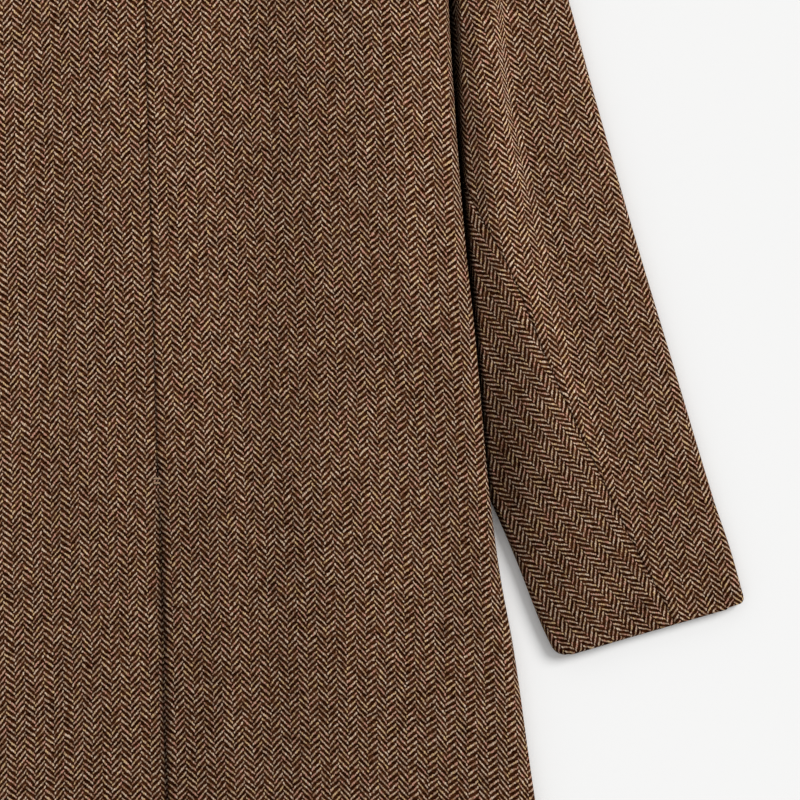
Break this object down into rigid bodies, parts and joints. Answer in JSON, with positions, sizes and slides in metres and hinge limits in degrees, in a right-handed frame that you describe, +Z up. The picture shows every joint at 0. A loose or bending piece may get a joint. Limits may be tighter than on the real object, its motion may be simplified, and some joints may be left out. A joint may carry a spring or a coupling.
{
  "type": "wool overcoat laid flat",
  "caption": "Herringbone wool overcoat laid flat on its front, back upwards, with a centre-back seam and vent, two-piece sleeves, collar, lapels and buttoned front.",
  "frame": {"origin": "centre of the coat's outline on the surface that it lies on", "axes": "+Z up from the surface, +Y from the hem towards the collar, +X towards the wearer's right"},
  "size_m": [0.898, 1.0998, 0.0275],
  "materials": {
    "wool": "matte brushed herringbone twill",
    "button": "semi-gloss"
  },
  "bodies": {
    "root": {"back_left": "wool", "back_right": "wool", "front_left": "wool", "front_right": "wool", "lapel_left": "wool", "lapel_right": "wool", "collar": "wool", "topsleeve_left": "wool", "topsleeve_right": "wool", "undersleeve_left": "wool", "undersleeve_right": "wool", "button_1": "button", "button_2": "button", "button_3": "button"}
  },
  "joints": []
}
